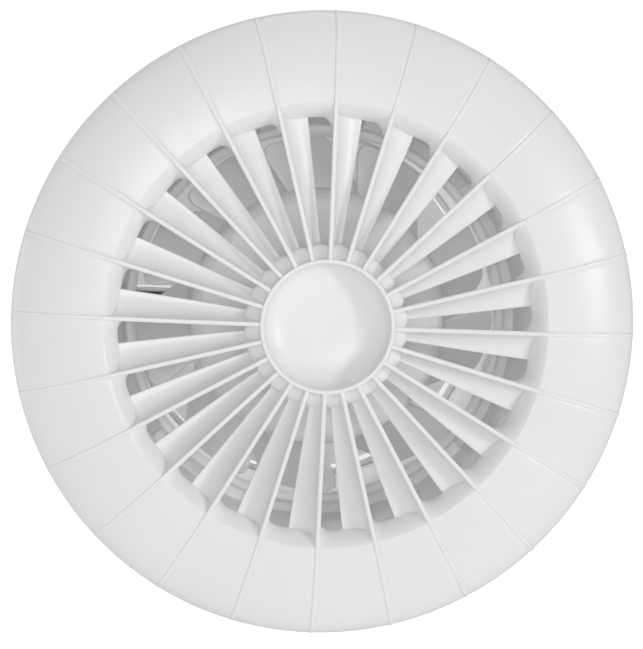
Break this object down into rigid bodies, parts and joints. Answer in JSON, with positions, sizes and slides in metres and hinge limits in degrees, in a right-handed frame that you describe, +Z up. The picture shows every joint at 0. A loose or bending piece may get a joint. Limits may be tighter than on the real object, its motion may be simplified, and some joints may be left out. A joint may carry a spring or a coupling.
{
  "type": "bathroom extractor fan",
  "caption": "Round wall or ceiling extractor fan: domed front cover with a turbine of curved guide vanes round a dished hub, axial impeller and motor in a duct spigot.",
  "frame": {"origin": "on the fan's axis in the wall face, at the centre of the circle of wall screws", "axes": "+Y along the duct, into the wall; -Y towards the room; +Z up; +X to the right for someone who faces the cover"},
  "size_m": [0.1606, 0.1004, 0.1606],
  "materials": {
    "cover_plastic": "satin white moulding",
    "casing_plastic": "white moulding",
    "impeller_plastic": "satin white moulding",
    "block_plastic": "natural nylon",
    "bobbin_plastic": "glass-filled nylon",
    "contact_brass": "turned",
    "bearing_bronze": "sintered",
    "screw_steel": "zinc plated",
    "shaft_steel": "ground",
    "core_steel": "stacked laminations",
    "bracket_alloy": "die cast",
    "winding_copper": "enamelled wire",
    "ring_copper": "drawn copper",
    "coil_tape": "polyester tape",
    "grommet_rubber": "soft moulded",
    "lead_brown": "extruded insulation",
    "lead_blue": "extruded insulation"
  },
  "bodies": {
    "casing": {"housing": "casing_plastic", "motor_carrier": "casing_plastic", "terminal_block": "block_plastic", "terminal_contacts": "contact_brass", "terminal_screws": "screw_steel", "terminal_cover": "casing_plastic", "terminal_cover_screw": "screw_steel", "cable_clamp": "block_plastic", "clamp_screws": "screw_steel", "cable_grommet": "grommet_rubber", "lead_live": "lead_brown", "lead_neutral": "lead_blue", "stator_core": "core_steel", "coil_bobbin": "bobbin_plastic", "coil_winding": "winding_copper", "coil_tape": "coil_tape", "shading_rings": "ring_copper", "front_bracket": "bracket_alloy", "rear_bracket": "bracket_alloy", "front_bearing": "bearing_bronze", "rear_bearing": "bearing_bronze", "motor_screws": "screw_steel", "motor_nuts": "screw_steel", "rubber_mounts": "grommet_rubber"},
    "cover": {"front_cover": "cover_plastic"},
    "rotor": {"impeller": "impeller_plastic", "impeller_washer": "screw_steel", "impeller_nut": "screw_steel", "shaft": "shaft_steel", "rotor_core": "core_steel", "rotor_end_rings": "bracket_alloy", "thrust_washers": "bobbin_plastic"}
  },
  "joints": [
    {"name": "impeller_spin", "type": "hinge", "parent": "casing", "child": "rotor", "pos_m": [0, 0.038, 0], "axis": [0, 1, 0], "continuous": true},
    {"name": "cover_pull", "type": "slide", "parent": "casing", "child": "cover", "axis": [0, -1, 0], "range_m": [0, 0.03]}
  ]
}
